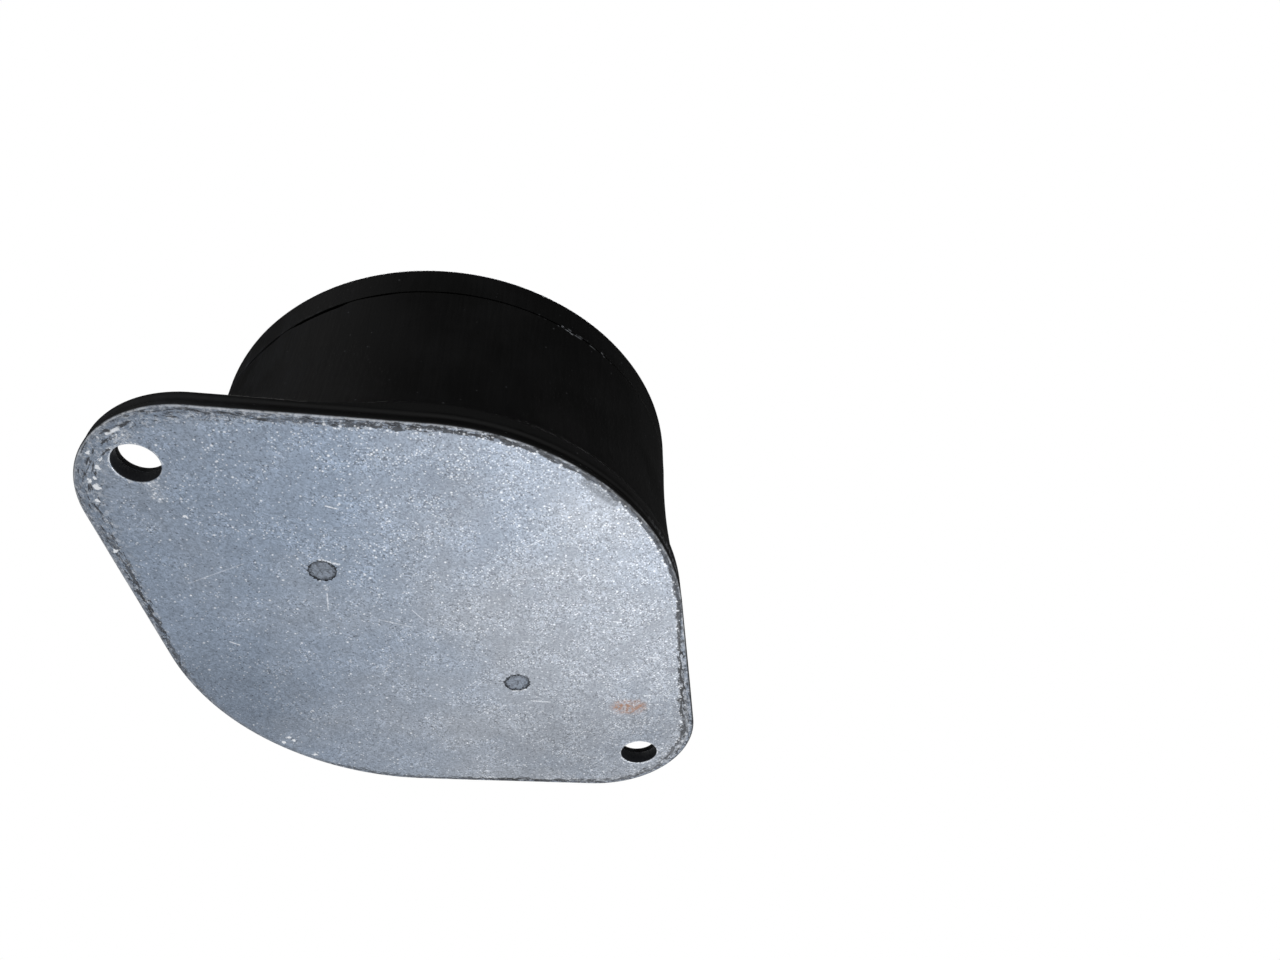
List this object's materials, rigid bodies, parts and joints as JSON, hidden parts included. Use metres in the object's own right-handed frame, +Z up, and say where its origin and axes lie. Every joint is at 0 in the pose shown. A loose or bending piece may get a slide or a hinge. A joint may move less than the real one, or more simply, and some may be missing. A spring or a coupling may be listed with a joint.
{
  "type": "rubber vibration damper",
  "caption": "Waisted rubber drum bonded between a lozenge steel mounting plate with bolt holes and a round steel disc with a threaded stud.",
  "frame": {"origin": "centre of the mounting plate's outer face, midway between its two bolt holes", "axes": "+Z up the drum's axis from the plate to the stud, +X along the two bolt holes"},
  "size_m": [0.188, 0.138, 0.109],
  "materials": {
    "plate_steel": "bare mottled steel with scratches",
    "rubber": "moulded, satin, dusty and scuffed",
    "disc_steel": "bare mottled steel",
    "stud_steel": "rolled thread, dark and oily"
  },
  "bodies": {
    "root": {"mounting_plate": "plate_steel", "rubber_body": "rubber", "stud_disc": "disc_steel", "stud": "stud_steel"}
  },
  "joints": []
}
